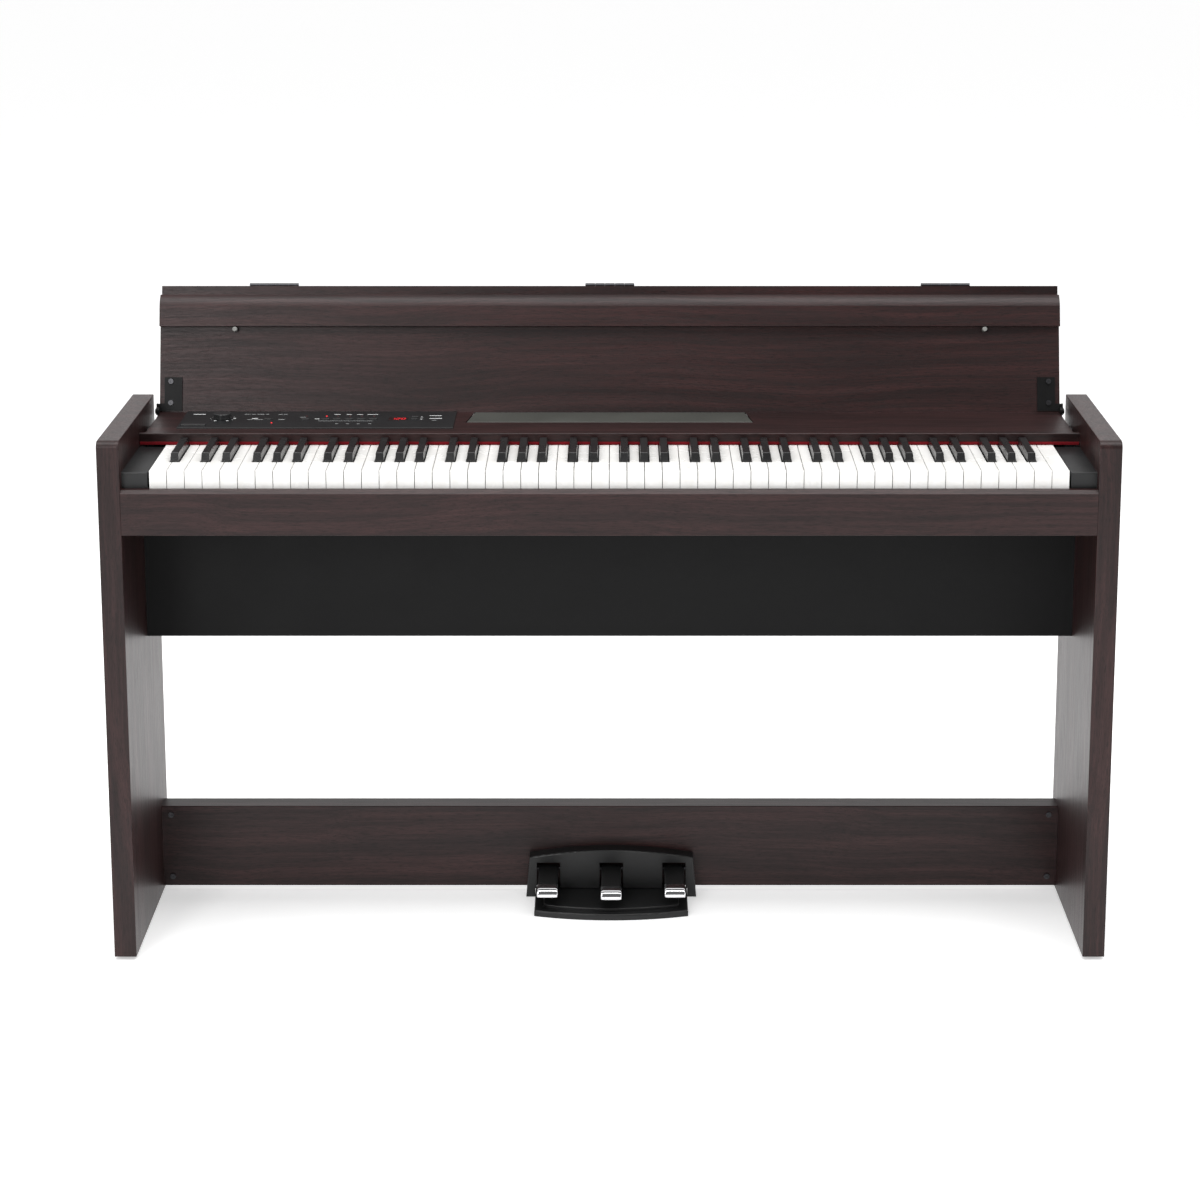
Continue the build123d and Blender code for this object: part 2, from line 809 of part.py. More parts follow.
bumper_x = 533.0
bumper_reach = rail_start - 4.2
bumper_radius = 3.4
bumper_height = 11.6
with BuildPart() as lid_bumpers:
    with BuildSketch(lid_face(leaf_under)):
        with Locations((-bumper_x, bumper_reach), (bumper_x, bumper_reach)):
            Circle(bumper_radius)
    extrude(amount=bumper_height)
    fillet(lid_bumpers.edges().filter_by(GeomType.CIRCLE).group_by(Axis.Y)[0], 1)
save(lid_bumpers, "lid_bumpers")

# Fold hinges between the two leaves: three, each with two leaves and a pin.
fold_hinge_xs = (-480.0, 0.0, 480.0)
knuckle_radius = 2.6
fold_pin_radius = 1.2
fold_pin_hole = 1.25
hinge_leaf_thickness = 0.8
knuckle_length = 14.0
knuckle_gap = 0.4


def fold_hinge_half(plate_heights, reach_span, knuckle_offsets):
    """One leaf of every fold hinge: a plate on the panel's face and its knuckles."""
    low, high = plate_heights
    near, far = reach_span
    with BuildPart() as made:
        for hinge_x in fold_hinge_xs:
            with BuildSketch(lid_section(hinge_x)):
                with Locations(((near + far) / 2, (low + high) / 2)):
                    Rectangle(far - near, high - low)
            extrude(amount=2.5 * knuckle_length, both=True)
            for offset in knuckle_offsets:
                with BuildSketch(lid_section(hinge_x + offset)):
                    with Locations((fold_axis_reach, fold_axis_height)):
                        Circle(knuckle_radius)
                    with Locations((fold_axis_reach - 2, (low + high) / 2)):
                        Rectangle(4, high - low)
                    with Locations((fold_axis_reach, fold_axis_height)):
                        Circle(fold_pin_hole, mode=Mode.SUBTRACT)
                extrude(amount=knuckle_length / 2 - knuckle_gap / 2, both=True)
    return made


hinge_leaf_start = 160.0
clear_reach = fold_axis_reach - knuckle_radius - 0.5
side_knuckle = knuckle_length
end_knuckle = 2 * knuckle_length
fold_hinge_rear = fold_hinge_half(
    (leaf_over, leaf_over + hinge_leaf_thickness),
    (hinge_leaf_start, clear_reach),
    (-side_knuckle, side_knuckle),
)
save(fold_hinge_rear, "fold_hinge_rear")

front_low = 2 * fold_axis_height - leaf_over - hinge_leaf_thickness
fold_hinge_front = fold_hinge_half(
    (front_low, front_low + hinge_leaf_thickness),
    (hinge_leaf_start, clear_reach),
    (-end_knuckle, 0.0, end_knuckle),
)
save(fold_hinge_front, "fold_hinge_front")

with BuildPart() as fold_hinge_pins:
    for hinge_x in fold_hinge_xs:
        with BuildSketch(lid_section(hinge_x)):
            with Locations((fold_axis_reach, fold_axis_height)):
                Circle(fold_pin_radius)
        extrude(amount=2.5 * knuckle_length, both=True)
save(fold_hinge_pins, "fold_hinge_pins")

# ---------------------------------------------------------------- pedals

base_half = 109.5
base_front = 141.0
base_corner = 157.0
base_back = 250.0
base_height = 9.0
tier_inset = 13.0
tier_height = 4.0
with BuildPart() as pedal_base:
    with BuildSketch(level(0)):
        with BuildLine():
            sides = Polyline(
                (pedal_centre_x - base_half, base_corner),
                (pedal_centre_x - base_half, base_back),
                (pedal_centre_x + base_half, base_back),
                (pedal_centre_x + base_half, base_corner),
            )
            ThreePointArc(sides @ 1, (pedal_centre_x, base_front), sides @ 0)
        make_face()
    extrude(amount=base_height)
    fillet(pedal_base.edges().group_by(Axis.Z)[-1], 2.5)
    with BuildSketch(level(base_height)) as tier:
        with BuildLine():
            sides = Polyline(
                (pedal_centre_x - base_half + tier_inset, base_corner + tier_inset),
                (pedal_centre_x - base_half + tier_inset, base_back),
                (pedal_centre_x + base_half - tier_inset, base_back),
                (pedal_centre_x + base_half - tier_inset, base_corner + tier_inset),
            )
            ThreePointArc(sides @ 1, (pedal_centre_x, base_front + tier_inset), sides @ 0)
        make_face()
        fillet(tier.vertices().group_by(Axis.Y)[0], 9)
    extrude(amount=tier_height)
    fillet(pedal_base.edges().group_by(Axis.Z)[-1], 1.5)
save(pedal_base, "pedal_base")

hood_half = 118.0
hood_front = 228.0
hood_back = 250.0
hood_side_top = 61.0
hood_crown = 72.0
hood_wall = 3.0
hood_foot = 0.5
hood_flare = 5.0
hood_room_top = 58.0
slot_top = 53.0
lever_slot = pedal_width + 4
with BuildPart() as pedal_hood:
    with BuildSketch(facing(hood_back)):
        with BuildLine():
            sides = Polyline(
                (pedal_centre_x - hood_half, hood_side_top),
                (pedal_centre_x - hood_half - hood_flare, hood_foot),
                (pedal_centre_x + hood_half + hood_flare, hood_foot),
                (pedal_centre_x + hood_half, hood_side_top),
            )
            ThreePointArc(sides @ 1, (pedal_centre_x, hood_crown), sides @ 0)
        make_face()
    extrude(amount=hood_back - hood_front)
    fillet(pedal_hood.edges().group_by(Axis.Y)[0], 2)
    with BuildSketch(facing(hood_back)):
        with Locations((pedal_centre_x, hood_room_top / 2)):
            Rectangle(2 * (base_half + 2), hood_room_top)
    extrude(amount=hood_back - hood_front - hood_wall, mode=Mode.SUBTRACT)
    with BuildSketch(facing(hood_back)):
        with Locations((pedal_centre_x, (base_height + tier_height + 1) / 2)):
            Rectangle(2 * (base_half + 0.3), base_height + tier_height + 1)
        with Locations(*[(pedal_centre_x + i * pedal_pitch, slot_top / 2) for i in (-1, 0, 1)]):
            Rectangle(lever_slot, slot_top)
    extrude(amount=hood_back - hood_front, mode=Mode.SUBTRACT)
save(pedal_hood, "pedal_hood")

with BuildPart() as pedal_axle:
    with BuildSketch(section(pedal_centre_x)):
        with Locations((pedal_axis_y, pedal_axis_z)):
            Circle(pedal_axle_radius)
    extrude(amount=base_half + 2, both=True)
save(pedal_axle, "pedal_axle")

for pedal_name, pedal_index, toe_y in (("left", -1, 150.0), ("middle", 0, 141.0), ("right", 1, 150.0)):
    with BuildPart() as pedal:
        with BuildSketch(section(pedal_centre_x + pedal_index * pedal_pitch)):
            with BuildLine():
                Polyline(
                    (toe_y, 31.5),
                    (toe_y, 37.5),
                    (toe_y + 4, 40.5),
                    (toe_y + 24, 41.5),
                    (pedal_axis_y - 10, 46),
                    (pedal_axis_y + 7, 46),
                    (pedal_axis_y + 7, 36),
                    (toe_y + 24, 32),
                    close=True,
                )
            make_face()
            with Locations((pedal_axis_y, pedal_axis_z)):
                Circle(pedal_bore_radius, mode=Mode.SUBTRACT)
        extrude(amount=pedal_width / 2, both=True)
        fillet(pedal.edges().filter_by(Axis.Z).group_by(Axis.Y)[0], 4)
    save(pedal, f"pedal_{pedal_name}")

spring_radius = 5.0
spring_wire = 0.8
spring_y = 212.0
spring_foot = base_height + tier_height + spring_wire
spring_height = 19.0
with BuildPart() as pedal_springs:
    for spring_index in (-1, 0, 1):
        spring_x = pedal_centre_x + spring_index * pedal_pitch
        coil_base = Vector(spring_x, front + spring_y, spring_foot)
        with BuildLine():
            coil = Helix(pitch=4.2, height=spring_height, radius=spring_radius, center=coil_base)
        with BuildSketch(Plane(origin=coil @ 0, z_dir=coil % 0)):
            Circle(spring_wire)
        sweep(path=coil)
save(pedal_springs, "pedal_springs")

# ---------------------------------------------------------------- keys

semitone_offsets = {0: -2.35, 1: 2.35, 3: -3.36, 4: 0.0, 5: 3.36}


def black_centre(index):
    """X of the black key to the right of white key number index, or None if it has none."""
    note = (index - 2) % 7
    if note not in semitone_offsets or index + 1 >= white_count:
        return None
    return -keys_half + (index + 1) * white_pitch + semitone_offsets[note]


all_black = [black_centre(i) for i in range(white_count) if black_centre(i) is not None]
middle_c = 23


def white_keys(indices):
    """White keys as moulded shells: top slab, front skirt and pivot block."""
    centres = [-keys_half + (i + 0.5) * white_pitch for i in indices]
    depth = key_tail_end - key_front
    with BuildPart() as keys:
        with BuildSketch(level(key_slab_bottom)):
            with Locations(*[(x, key_front + depth / 2) for x in centres]):
                Rectangle(white_width, depth)
            with Locations(*[(x, black_front - 1.2 + depth / 2) for x in all_black]):
                Rectangle(black_slot, depth, mode=Mode.SUBTRACT)
        extrude(amount=key_top - key_slab_bottom)
        fillet(keys.edges().group_by(Axis.Z)[-1], 0.7)
        with BuildSketch(level(key_skirt_bottom)):
            with Locations(*[(x, key_front + 2) for x in centres]):
                Rectangle(white_width, 4)
        extrude(amount=key_slab_bottom - key_skirt_bottom)
        with BuildSketch(level(key_pivot_z - 0.5)):
            with Locations(*[(x, key_tail_end - 7) for x in centres]):
                Rectangle(white_width, 14)
            with Locations(*[(x, key_tail_end - 7) for x in all_black]):
                Rectangle(black_slot, 20, mode=Mode.SUBTRACT)
        extrude(amount=key_slab_bottom - key_pivot_z + 0.5)
        with BuildSketch(section(0)):
            with Locations((key_pivot_y, key_pivot_z)):
                Circle(key_groove_radius)
        extrude(amount=keys_half, both=True, mode=Mode.SUBTRACT)
    return keys


def black_keys(centres):
    """Black keys: tapered cap with a sloping front, a tail slab and a pivot block."""
    with BuildPart() as keys:
        with BuildSketch(level(key_slab_bottom)):
            with Locations(*[(x, (black_front + black_back) / 2) for x in centres]):
                Rectangle(black_width, black_back - black_front)
        extrude(amount=black_top - key_slab_bottom, taper=3.4)
        with BuildSketch(section(0)):
            with BuildLine():
                Polyline(
                    (black_front - 2, 688),
                    (black_front + 0.6, 688),
                    (black_front + 5.5, black_top + 1),
                    (black_front - 2, black_top + 1),
                    close=True,
                )
            make_face()
        extrude(amount=keys_half, both=True, mode=Mode.SUBTRACT)
        fillet(keys.edges().group_by(Axis.Z)[-1], 1.2)
        with BuildSketch(level(key_slab_bottom)):
            with Locations(*[(x, (black_back + key_tail_end) / 2 - 1) for x in centres]):
                Rectangle(black_width - 1, key_tail_end - black_back + 2)
        extrude(amount=key_top - key_slab_bottom - 0.6)
        with BuildSketch(level(key_pivot_z - 0.5)):
            with Locations(*[(x, key_tail_end - 7) for x in centres]):
                Rectangle(black_width - 1, 14)
        extrude(amount=key_slab_bottom - key_pivot_z + 0.5)
        with BuildSketch(section(0)):
            with Locations((key_pivot_y, key_pivot_z)):
                Circle(key_groove_radius)
        extrude(amount=keys_half, both=True, mode=Mode.SUBTRACT)
    return keys


single_white = {"key_c4": middle_c, "key_d4": middle_c + 1, "key_e4": middle_c + 2}
single_black = {"key_c_sharp_4": black_centre(middle_c), "key_d_sharp_4": black_centre(middle_c + 1)}
for key_name, key_index in single_white.items():
    save(white_keys([key_index]), key_name)
for key_name, key_x in single_black.items():
    save(black_keys([key_x]), key_name)
save(white_keys([i for i in range(white_count) if i not in single_white.values()]), "white_keys")
save(black_keys([x for x in all_black if x not in single_black.values()]), "black_keys")
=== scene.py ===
"""Looks of the digital piano: materials, control strip printing, lamps and digits, pedals and their
springs, screws, grilles and other small fittings, with a camera, soft studio light and a floor.

Metres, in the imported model's own frame: +X to the player's right, +Y away from the player, +Z up.
"""

import json
import math

import bmesh
import bpy
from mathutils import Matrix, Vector


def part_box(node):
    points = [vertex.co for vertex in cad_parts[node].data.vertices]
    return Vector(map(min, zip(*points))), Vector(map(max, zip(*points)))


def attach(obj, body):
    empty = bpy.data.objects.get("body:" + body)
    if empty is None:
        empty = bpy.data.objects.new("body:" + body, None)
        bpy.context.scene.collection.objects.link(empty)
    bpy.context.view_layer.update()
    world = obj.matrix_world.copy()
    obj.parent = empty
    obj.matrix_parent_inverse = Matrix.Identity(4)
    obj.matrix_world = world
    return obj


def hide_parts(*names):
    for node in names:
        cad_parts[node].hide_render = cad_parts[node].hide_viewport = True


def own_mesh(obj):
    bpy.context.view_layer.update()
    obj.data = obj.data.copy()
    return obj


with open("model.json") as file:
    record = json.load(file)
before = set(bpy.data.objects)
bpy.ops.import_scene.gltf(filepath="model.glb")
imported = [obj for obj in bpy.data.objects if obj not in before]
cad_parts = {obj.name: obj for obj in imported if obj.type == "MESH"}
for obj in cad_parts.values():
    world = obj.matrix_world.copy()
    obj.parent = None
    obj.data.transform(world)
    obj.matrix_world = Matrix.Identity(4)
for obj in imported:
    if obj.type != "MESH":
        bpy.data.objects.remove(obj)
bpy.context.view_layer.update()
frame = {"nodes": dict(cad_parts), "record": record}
nodes = frame["nodes"]
scene = bpy.context.scene
MM = 0.001

# ---------------------------------------------------------------- camera, light and world

CAMERA_PLACE = (0.0095, -3.930, 1.584)
CAMERA_PITCH = math.radians(11.78)
CAMERA_LENS = 87.1
CAMERA_SENSOR = 36.0
CAMERA_SHIFT = (-0.0137, -0.18)
CAMERA_REACH = 200.0

# The room's brightness towards the player and behind the piano, and the Y of the directions between
ROOM_FRONT = 0.14
ROOM_BACK = 0.95
ROOM_CHANGE = (-0.9, 0.5)


def add_camera():
    """In front and a little above the keys, as in the photograph, with a lens shift."""
    data = bpy.data.cameras.new("camera")
    data.sensor_width = CAMERA_SENSOR
    data.lens = CAMERA_LENS
    data.shift_x, data.shift_y = CAMERA_SHIFT
    data.clip_end = CAMERA_REACH
    camera = bpy.data.objects.new("camera", data)
    camera.location = CAMERA_PLACE
    camera.rotation_euler = (math.pi / 2 - CAMERA_PITCH, 0.0, 0.0)
    scene.collection.objects.link(camera)
    scene.camera = camera


def add_softbox(name, position, target, size, power):
    """A rectangular area light that faces a target point."""
    data = bpy.data.lights.new(name, "AREA")
    data.shape = "RECTANGLE"
    data.size, data.size_y = size
    data.energy = power
    light = bpy.data.objects.new(name, data)
    light.location = position
    light.rotation_euler = (Vector(target) - Vector(position)).to_track_quat("-Z", "Y").to_euler()
    scene.collection.objects.link(light)


def add_world():
    """A white studio, dim on the player's side and bright behind the piano."""
    world = bpy.data.worlds.new("studio")
    scene.world = world
    world.use_nodes = True
    tree = world.node_tree
    background = tree.nodes["Background"]
    background.inputs["Color"].default_value = (1.0, 1.0, 1.0, 1.0)
    direction = tree.nodes.new("ShaderNodeTexCoord").outputs["Generated"]
    split = tree.nodes.new("ShaderNodeSeparateXYZ")
    strength = tree.nodes.new("ShaderNodeMapRange")
    strength.interpolation_type = "SMOOTHSTEP"
    strength.inputs["From Min"].default_value = ROOM_CHANGE[0]
    strength.inputs["From Max"].default_value = ROOM_CHANGE[1]
    strength.inputs["To Min"].default_value = ROOM_FRONT
    strength.inputs["To Max"].default_value = ROOM_BACK
    tree.links.new(direction, split.inputs["Vector"])
    tree.links.new(split.outputs["Y"], strength.inputs["Value"])
    tree.links.new(strength.outputs["Result"], background.inputs["Strength"])


scene.view_settings.view_transform = "Standard"
add_camera()
add_world()
middle = (0.0, 0.0, 0.5)
left_of_middle = (-0.5, 0.0, 0.75)
add_softbox("overhead_light", (0.0, -0.9, 3.6), middle, size=(5.0, 2.2), power=150.0)
add_softbox("fill_light", (3.0, -3.4, 2.2), middle, size=(2.4, 2.0), power=14.0)
add_softbox("left_light", (-2.3, -5.4, 2.6), left_of_middle, size=(1.3, 2.2), power=105.0)

# ---------------------------------------------------------------- material building blocks


def shader_graph(name):
    """A new node material, with its tree and its shader."""
    material = bpy.data.materials.new(name)
    material.use_nodes = True
    return material, material.node_tree, material.node_tree.nodes["Principled BSDF"]


def add(tree, kind, inputs=None, **settings):
    """A node with its settings, and with its inputs linked or set."""
    made = tree.nodes.new(kind)
    for key, value in settings.items():
        setattr(made, key, value)
    for key, value in (inputs or {}).items():
        if isinstance(value, bpy.types.NodeSocket):
            tree.links.new(value, made.inputs[key])
        else:
            made.inputs[key].default_value = value
    return made


def place(tree):
    """The shaded point in its object's own coordinates, in metres."""
    return add(tree, "ShaderNodeTexCoord").outputs["Object"]


def noise(tree, point, size, detail=3.0, roughness=0.5):
    """Noise whose features have about this size in metres: one size, or one for each axis."""
    sizes = (size, size, size) if isinstance(size, float) else size
    scales = tuple(1.0 / s for s in sizes)
    mapped = add(tree, "ShaderNodeMapping", {"Vector": point, "Scale": scales})
    settings = {"Vector": mapped.outputs["Vector"], "Scale": 1.0, "Detail": detail, "Roughness": roughness}
    return add(tree, "ShaderNodeTexNoise", settings).outputs["Fac"]


def math_node(tree, operation, first, second):
    """One arithmetic step on two values or sockets."""
    return add(tree, "ShaderNodeMath", {0: first, 1: second}, operation=operation).outputs["Value"]


def weighted(tree, first, second, share):
    """A sum with this share of the first value and the rest of the second."""
    first_part = math_node(tree, "MULTIPLY", first, share)
    second_part = math_node(tree, "MULTIPLY", second, 1.0 - share)
    return math_node(tree, "ADD", first_part, second_part)


def spread(tree, value, low, high, to_low, to_high):
    """A value moved from one range to another, and held inside it."""
    inputs = {"Value": value, "From Min": low, "From Max": high, "To Min": to_low, "To Max": to_high}
    return add(tree, "ShaderNodeMapRange", inputs).outputs["Result"]


def ramp(tree, value, stops):
    """A colour ramp through (position, colour) stops."""
    made = add(tree, "ShaderNodeValToRGB", {"Fac": value})
    elements = made.color_ramp.elements
    for element, (position, colour) in zip(elements, (stops[0], stops[-1])):
        element.position = position
        element.color = (*colour, 1.0)
    for position, colour in stops[1:-1]:
        elements.new(position).color = (*colour, 1.0)
    return made.outputs["Color"]


def darkened(tree, colour, share):
    """A colour multiplied by a value."""
    grey = add(tree, "ShaderNodeCombineColor", {0: share, 1: share, 2: share}).outputs["Color"]
    mix = add(tree, "ShaderNodeMix", data_type="RGBA", blend_type="MULTIPLY")
    mix.inputs[0].default_value = 1.0
    tree.links.new(colour, mix.inputs[6])
    tree.links.new(grey, mix.inputs[7])
    return mix.outputs[2]


def bump(tree, shader, height, distance, strength=1.0):
    """Surface relief, its height in metres."""
    inputs = {"Height": height, "Distance": distance, "Strength": strength}
    tree.links.new(add(tree, "ShaderNodeBump", inputs).outputs["Normal"], shader.inputs["Normal"])


def tinted(colour, factor):
    """A colour made darker or lighter."""
    return tuple(min(1.0, c * factor) for c in colour)


def set_levels(shader, **levels):
    """Plain values for a shader's inputs, whose spaces are written as underscores."""
    for socket, level in levels.items():
        shader.inputs[socket.replace("_", " ")].default_value = level


# ---------------------------------------------------------------- materials

# Sizes of each material's features, in metres: along and across the grain for the wood
WOOD_FIGURE = (0.42, 0.016)
WOOD_STREAK = (0.20, 0.0032)
WOOD_PORE = (0.014, 0.0006)
WOOD_DRIFT_SIZE = 1 / 2.2
WOOD_DRIFT = 0.05
WOOD_RELIEF = 0.00012
MOULDED_CLOUD = 0.06
METAL_CLOUD = 0.012
SCRATCH_WIDTH = 0.0006
SCRATCH_LENGTH = 0.03
FELT_FIBRE = (0.0022, 0.0007, 0.0007)
KEY_FLOW = (0.012, 0.07, 0.02)
KEY_WEAR = 0.03
GLOW_CLOUD = 0.0006
TRACKS_PER_METRE = 240.0

# The wood's colours, from its darkest figure to its lightest
WOOD_COLOURS = [
    (0.34, (0.0170, 0.0064, 0.0064)),
    (0.46, (0.0290, 0.0115, 0.0112)),
    (0.56, (0.0470, 0.0180, 0.0176)),
    (0.68, (0.0690, 0.0280, 0.0270)),
]


def rosewood(name, grain, tone=0.62, gloss=0.36):
    """Dark rosewood laminate: long wavering figure, fine streaks and open pores along axis number grain."""
    material, tree, shader = shader_graph(name)
    point = place(tree)
    drift = noise(tree, point, WOOD_DRIFT_SIZE, 2.0)
    shift = math_node(tree, "MULTIPLY", math_node(tree, "SUBTRACT", drift, 0.5), WOOD_DRIFT)
    offset = add(tree, "ShaderNodeCombineXYZ", {axis: shift for axis in range(3) if axis != grain})
    moved = add(tree, "ShaderNodeVectorMath", {0: point, 1: offset.outputs["Vector"]}, operation="ADD")
    wavering = moved.outputs["Vector"]

    def along_grain(size, detail, roughness):
        length, width = size
        sizes = [width] * 3
        sizes[grain] = length
        return noise(tree, wavering, sizes, detail, roughness)

    figure = along_grain(WOOD_FIGURE, 4.0, 0.55)
    streaks = along_grain(WOOD_STREAK, 5.0, 0.62)
    pores = along_grain(WOOD_PORE, 2.0, 0.5)
    stops = [(position, tinted(colour, tone)) for position, colour in WOOD_COLOURS]
    wood = ramp(tree, weighted(tree, figure, streaks, 0.55), stops)
    open_pore = spread(tree, pores, 0.36, 0.47, 0.35, 1.0)
    tree.links.new(darkened(tree, wood, open_pore), shader.inputs["Base Color"])
    sheen = spread(tree, streaks, 0.3, 0.7, gloss + 0.07, gloss - 0.04)
    tree.links.new(sheen, shader.inputs["Roughness"])
    set_levels(shader, Specular_IOR_Level=0.3)
    bump(tree, shader, weighted(tree, open_pore, streaks, 0.7), WOOD_RELIEF, 0.6)
    return material


def moulded(name, colour, roughness, grain=0.0008, relief=0.00004, mottle=0.12, specular=0.5, coat=0.0):
    """Moulded plastic or paint: faint mottling, a fine grain and uneven gloss.

    The grain's size and the relief's depth are in metres.
    """
    material, tree, shader = shader_graph(name)
    point = place(tree)
    cloud = noise(tree, point, MOULDED_CLOUD, 3.0)
    texture = noise(tree, point, grain, 2.0, 0.6)
    base = ramp(tree, cloud, [(0.3, tinted(colour, 1.0 - mottle)), (0.7, tinted(colour, 1.0 + mottle))])
    speck = spread(tree, texture, 0.3, 0.7, 1.0 - mottle / 2, 1.0)
    tree.links.new(darkened(tree, base, speck), shader.inputs["Base Color"])
    gloss = spread(tree, cloud, 0.3, 0.7, roughness - 0.04, roughness + 0.05)
    tree.links.new(gloss, shader.inputs["Roughness"])
    set_levels(shader, Specular_IOR_Level=specular, Coat_Weight=coat)
    if relief:
        bump(tree, shader, texture, relief)
    return material


def metal(name, colour, roughness, brushed_axis=None, scratch=0.05):
    """Bare or plated metal: fine brushing or handling marks in its gloss."""
    material, tree, shader = shader_graph(name)
    point = place(tree)
    mark_sizes = [SCRATCH_WIDTH] * 3
    if brushed_axis is not None:
        mark_sizes[brushed_axis] = SCRATCH_LENGTH
    marks = noise(tree, point, mark_sizes, 3.0, 0.6)
    cloud = noise(tree, point, METAL_CLOUD, 2.0)
    base = ramp(tree, cloud, [(0.3, tinted(colour, 0.9)), (0.7, colour)])
    tree.links.new(base, shader.inputs["Base Color"])
    gloss = math_node(tree, "ADD", spread(tree, marks, 0.35, 0.65, 0.0, scratch), roughness)
    tree.links.new(gloss, shader.inputs["Roughness"])
    set_levels(shader, Metallic=1.0)
    bump(tree, shader, marks, 0.00001, 0.5)
    return material


def felt(name, colour):
    """Pressed felt: matted fibres with a soft sheen."""
    material, tree, shader = shader_graph(name)
    fibres = noise(tree, place(tree), FELT_FIBRE, 5.0, 0.7)
    base = ramp(tree, fibres, [(0.3, tinted(colour, 0.45)), (0.7, colour)])
    tree.links.new(base, shader.inputs["Base Color"])
    set_levels(shader, Roughness=0.95, Specular_IOR_Level=0.15)
    set_levels(shader, Sheen_Weight=0.35, Sheen_Tint=(0.6, 0.1, 0.1, 1.0))
    bump(tree, shader, fibres, 0.0003)
    return material


def white_key_plastic(name):
    """Glossy key plastic: warm white, faint flow marks and a soft satin wear on the playing surface."""
    material, tree, shader = shader_graph(name)
    point = place(tree)
    flow = noise(tree, point, KEY_FLOW, 3.0)
    worn = noise(tree, point, KEY_WEAR, 3.0, 0.55)
    white = ramp(tree, flow, [(0.3, (0.80, 0.79, 0.765)), (0.7, (0.86, 0.855, 0.84))])
    tree.links.new(white, shader.inputs["Base Color"])
    tree.links.new(spread(tree, worn, 0.35, 0.7, 0.22, 0.3), shader.inputs["Roughness"])
    set_levels(shader, Specular_IOR_Level=0.5, Coat_Weight=0.15, Coat_Roughness=0.15)
    bump(tree, shader, worn, 0.00003, 0.3)
    return material


def glow(name, colour, strength):
    """Lit lens or segment."""
    material, tree, shader = shader_graph(name)
    cloud = noise(tree, place(tree), GLOW_CLOUD, 1.0)
    tint = ramp(tree, cloud, [(0.2, tinted(colour, 0.85)), (0.8, colour)])
    tree.links.new(tint, shader.inputs["Base Color"])
    tree.links.new(tint, shader.inputs["Emission Color"])
    set_levels(shader, Emission_Strength=strength, Roughness=0.3)
    return material


def circuit(name):
    """Green board with paler copper tracks under the mask."""
    material, tree, shader = shader_graph(name)
    cells = {"Vector": place(tree), "Scale": TRACKS_PER_METRE}
    tracks = add(tree, "ShaderNodeTexVoronoi", cells, distance="MANHATTAN")
    mask = spread(tree, tracks.outputs["Distance"], 0.28, 0.36, 0.0, 1.0)
    colours = [(0.0, (0.02, 0.16, 0.06)), (1.0, (0.006, 0.055, 0.02))]
    tree.links.new(ramp(tree, mask, colours), shader.inputs["Base Color"])
    set_levels(shader, Roughness=0.35)
    bump(tree, shader, mask, 0.00003)
    return material


wood_across = rosewood("rosewood_across", 0)
wood_upright = rosewood("rosewood_upright", 2)
wood_edge = rosewood("rosewood_edge", 0, tone=0.45, gloss=0.3)

# For moulded finishes: colour, roughness, grain size, relief depth and mottling
finishes = {
    "edge_strip": wood_edge,
    "black_board": moulded("black_laminate", (0.0052, 0.0052, 0.0054), 0.58, 0.0014, 0.00006, specular=0.16),
    "white_key": white_key_plastic("key_white"),
    "black_key": moulded("key_black", (0.010, 0.010, 0.0105), 0.27, 0.0009, 0.00001, specular=0.55),
    "felt": felt("red_felt", (0.20, 0.006, 0.012)),
    "moulding": moulded("black_moulding", (0.010, 0.0105, 0.011), 0.42, 0.0007, 0.00006, specular=0.4),
    "key_chassis": moulded("chassis_grey", (0.10, 0.10, 0.10), 0.5, 0.0012),
    "cone": moulded("paper_cone", (0.022, 0.021, 0.020), 0.8, 0.0016, 0.0002, 0.25),
    "circuit_board": circuit("green_board"),
    "control_strip": moulded("strip_film", (0.0105, 0.0110, 0.0118), 0.36, 0.0005, 0.00002, specular=0.4),
    "button": moulded("button_black", (0.016, 0.016, 0.017), 0.38, 0.0004, 0.00003),
    "display": moulded("display_window", (0.012, 0.0015, 0.002), 0.12, 0.0004, 0.0, coat=0.4),
    "ledge": moulded("ledge_grey", (0.050, 0.052, 0.046), 0.46, 0.0009, 0.00008, specular=0.4),
    "black_steel": moulded("painted_steel", (0.004, 0.004, 0.0042), 0.45, 0.0006, 0.00005, specular=0.2),
    "steel": metal("zinc_steel", (0.55, 0.55, 0.56), 0.28),
    "pedal_plastic": moulded("pedal_box", (0.0095, 0.0097, 0.0100), 0.36, 0.0009, 0.00006, specular=0.4),
    "pedal_chrome": metal("chrome", (0.83, 0.83, 0.85), 0.06, brushed_axis=1, scratch=0.03),
    "foot": moulded("glide_plastic", (0.03, 0.03, 0.03), 0.5, 0.001),
    "bumper": moulded("bumper_rubber", (0.20, 0.20, 0.19), 0.75, 0.0008, 0.00006),
}
dark_steel = metal("blackened_steel", (0.075, 0.075, 0.08), 0.34)
seal_rubber = moulded("seal_rubber", (0.012, 0.011, 0.011), 0.7, 0.0008)
print_white = moulded("print_white", (0.62, 0.63, 0.63), 0.5, 0.0004, 0.0)
print_grey = moulded("print_grey", (0.30, 0.31, 0.31), 0.5, 0.0004, 0.0)
led_red = glow("led_red", (0.9, 0.02, 0.03), 0.9)
led_dark = moulded("led_dark", (0.05, 0.005, 0.005), 0.25, 0.0004, 0.0)
ring_steel = metal("ring_steel", (0.62, 0.62, 0.63), 0.2)

DARK_FITTINGS = ("lid_screws", "panel_screws", "pedal_axle", "pedal_springs", "fold_hinge", "lid_pivot")

